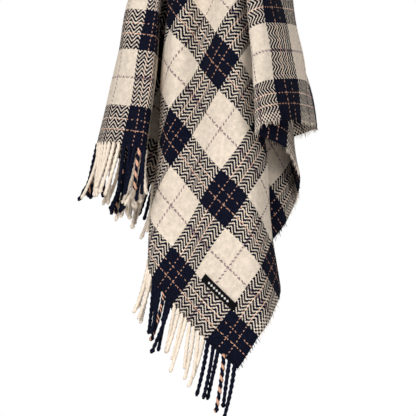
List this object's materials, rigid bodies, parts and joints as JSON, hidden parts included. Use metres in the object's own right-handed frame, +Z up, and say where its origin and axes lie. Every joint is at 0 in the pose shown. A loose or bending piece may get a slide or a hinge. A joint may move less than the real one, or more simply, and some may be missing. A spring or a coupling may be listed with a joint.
{
  "type": "camp blanket",
  "caption": "Cream and navy plaid herringbone wool camp blanket, hung from one point, with twisted tassels at both ends and a small sewn label.",
  "frame": {"origin": "the hang point, where the middle of the cloth rests on a rounded peg", "axes": "+Z up, -Y towards the front face, +X to the right"},
  "size_m": [0.3146, 0.597, 1.0998],
  "materials": {
    "plaid_wool": "matte",
    "cream_yarn": "matte",
    "navy_yarn": "matte",
    "label_satin": "satin"
  },
  "bodies": {
    "root": {"woven_cloth": "plaid_wool", "front_tassels_navy_01": "navy_yarn", "front_tassels_cream_01": "cream_yarn", "front_tassels_navy_02": "navy_yarn", "front_tassels_cream_02": "cream_yarn", "front_tassels_navy_03": "navy_yarn", "front_tassels_cream_03": "cream_yarn", "front_tassels_navy_04": "navy_yarn", "front_tassels_cream_04": "cream_yarn", "front_tassels_navy_05": "navy_yarn", "front_tassels_cream_05": "cream_yarn", "front_tassels_navy_06": "navy_yarn", "front_tassels_cream_06": "cream_yarn", "front_tassels_navy_07": "navy_yarn", "front_tassels_cream_07": "cream_yarn", "front_tassels_navy_08": "navy_yarn", "front_tassels_cream_08": "cream_yarn", "front_tassels_navy_09": "navy_yarn", "front_tassels_cream_09": "cream_yarn", "front_tassels_navy_10": "navy_yarn", "front_tassels_cream_10": "cream_yarn", "front_tassels_navy_11": "navy_yarn", "back_tassels_navy_01": "navy_yarn", "back_tassels_cream_01": "cream_yarn", "back_tassels_navy_02": "navy_yarn", "back_tassels_cream_02": "cream_yarn", "back_tassels_navy_03": "navy_yarn", "back_tassels_cream_03": "cream_yarn", "back_tassels_navy_04": "navy_yarn", "back_tassels_cream_04": "cream_yarn", "back_tassels_navy_05": "navy_yarn", "back_tassels_cream_05": "cream_yarn", "back_tassels_navy_06": "navy_yarn", "back_tassels_cream_06": "cream_yarn", "back_tassels_navy_07": "navy_yarn", "back_tassels_cream_07": "cream_yarn", "back_tassels_navy_08": "navy_yarn", "back_tassels_cream_08": "cream_yarn", "back_tassels_navy_09": "navy_yarn", "back_tassels_cream_09": "cream_yarn", "back_tassels_navy_10": "navy_yarn", "back_tassels_cream_10": "cream_yarn", "back_tassels_navy_11": "navy_yarn", "right_selvedge_lashes": "cream_yarn", "left_selvedge_lashes": "cream_yarn", "woven_label": "label_satin", "label_stitch_left": "label_satin", "label_stitch_right": "label_satin"}
  },
  "joints": []
}
